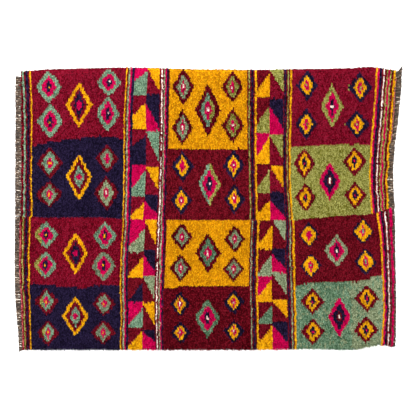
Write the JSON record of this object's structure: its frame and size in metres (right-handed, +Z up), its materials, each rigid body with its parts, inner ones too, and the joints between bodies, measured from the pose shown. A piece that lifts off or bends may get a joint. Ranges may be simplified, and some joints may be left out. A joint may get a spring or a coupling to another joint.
{
  "type": "tulu rug",
  "caption": "Hand-knotted wool tulu rug sewn from loom widths, with panels of nested diamonds, stripes and triangles and a warp fringe at its ends, laid flat on a floor.",
  "frame": {"origin": "centre of the rug's outline, fringe included, on the floor plane that it lies on", "axes": "+X along the warps, the long way, towards the end whose fringe leans past its corner; +Y across, towards the upper loom width; +Z up out of the pile"},
  "size_m": [1.8977, 1.3974, 0.024],
  "materials": {
    "wool_pile": "dyed knotted wool pile",
    "warp_fringe": "undyed twisted goat hair and wool"
  },
  "bodies": {
    "root": {"pile_strip_upper": "wool_pile", "pile_strip_lower": "wool_pile", "fringe_left_upper": "warp_fringe", "fringe_left_lower": "warp_fringe", "fringe_right_upper": "warp_fringe", "fringe_right_lower": "warp_fringe"}
  },
  "joints": []
}
